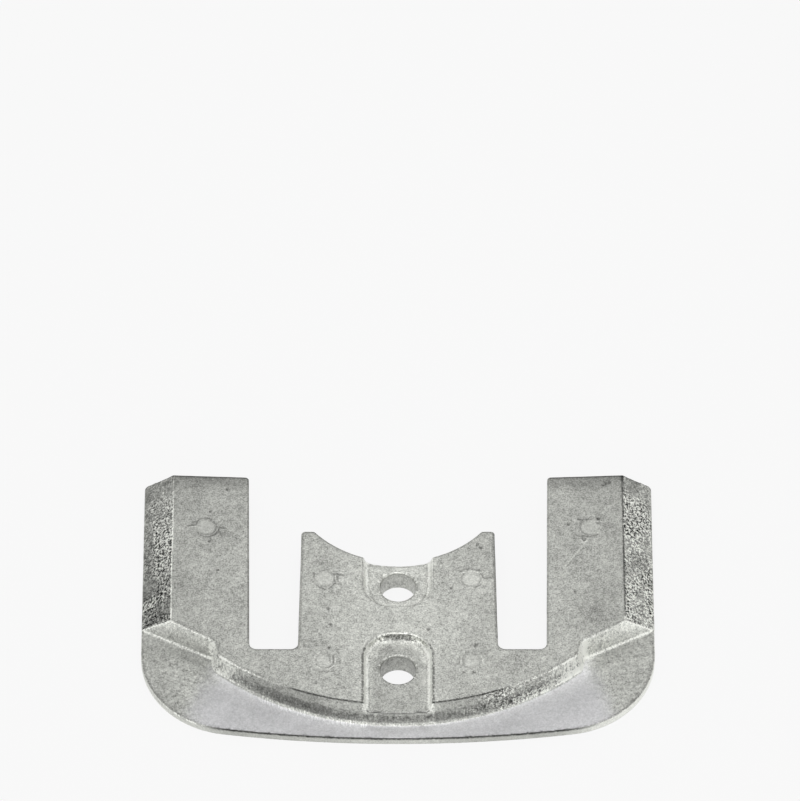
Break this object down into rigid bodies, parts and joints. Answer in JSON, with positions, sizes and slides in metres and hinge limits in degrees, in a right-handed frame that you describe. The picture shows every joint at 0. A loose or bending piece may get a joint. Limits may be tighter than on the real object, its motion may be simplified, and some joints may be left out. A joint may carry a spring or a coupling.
{
  "type": "sacrificial anode",
  "caption": "Cast plate anode with a thin rounded nose lip, bevelled wings, slots and a bolted tongue. It corrodes in place of a boat's drive leg.",
  "frame": {"origin": "on the flat mounting face, under the middle of the casting's outline", "axes": "+X to the right across both wings, -Y towards the rounded nose, +Z out of the face that the bolt heads sit in"},
  "size_m": [0.2046, 0.1276, 0.0125],
  "materials": {
    "cast_aluminium": "as cast, satin, slightly mottled, with rough sparkling bevels"
  },
  "bodies": {
    "root": {"anode_block": "cast_aluminium"}
  },
  "joints": []
}
